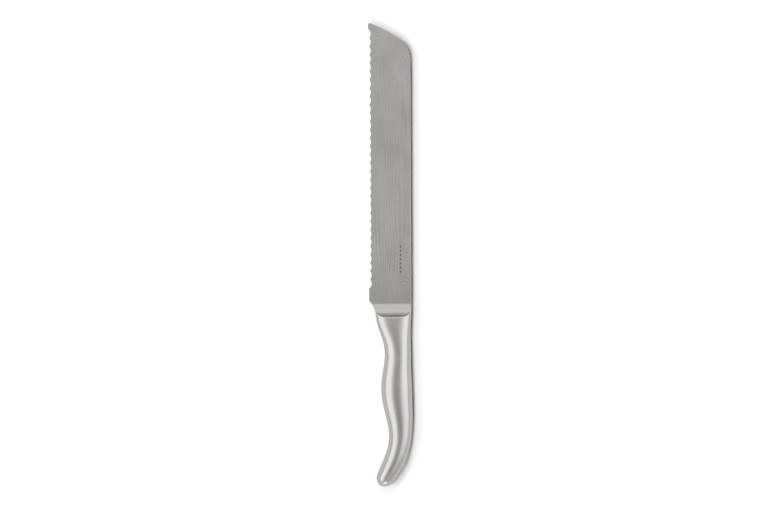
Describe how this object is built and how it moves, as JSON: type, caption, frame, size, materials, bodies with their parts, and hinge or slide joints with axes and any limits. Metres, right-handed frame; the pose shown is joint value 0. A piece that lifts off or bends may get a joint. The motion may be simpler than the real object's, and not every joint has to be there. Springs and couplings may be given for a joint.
{
  "type": "bread knife",
  "caption": "Bread knife with a clipped, squared tip, a scalloped edge, a layered steel blade, a flared bolster and a curved hollow steel handle hooked at the butt.",
  "frame": {"origin": "centre of the knife's box in plan, on the table it lies on", "axes": "+Y from the butt to the tip, +X from the edge to the spine, +Z out of the blade's left side, which faces up"},
  "size_m": [0.0308, 0.3306, 0.017],
  "materials": {
    "layered_steel": "fine layered pattern, satin",
    "edge_steel": "fine ground, satin",
    "bolster_steel": "cross-brushed",
    "handle_steel": "satin, brushed along the handle",
    "weld_steel": "ground flush and brushed",
    "inner_steel": "as rolled",
    "filler_resin": "cast"
  },
  "bodies": {
    "root": {"blade_core": "edge_steel", "left_cladding": "layered_steel", "right_cladding": "layered_steel", "blade_weld": "weld_steel", "bolster": "bolster_steel", "tang": "inner_steel", "left_handle_shell": "handle_steel", "right_handle_shell": "handle_steel", "handle_seam_weld": "weld_steel", "handle_filler": "filler_resin", "balance_weight": "inner_steel"}
  },
  "joints": []
}
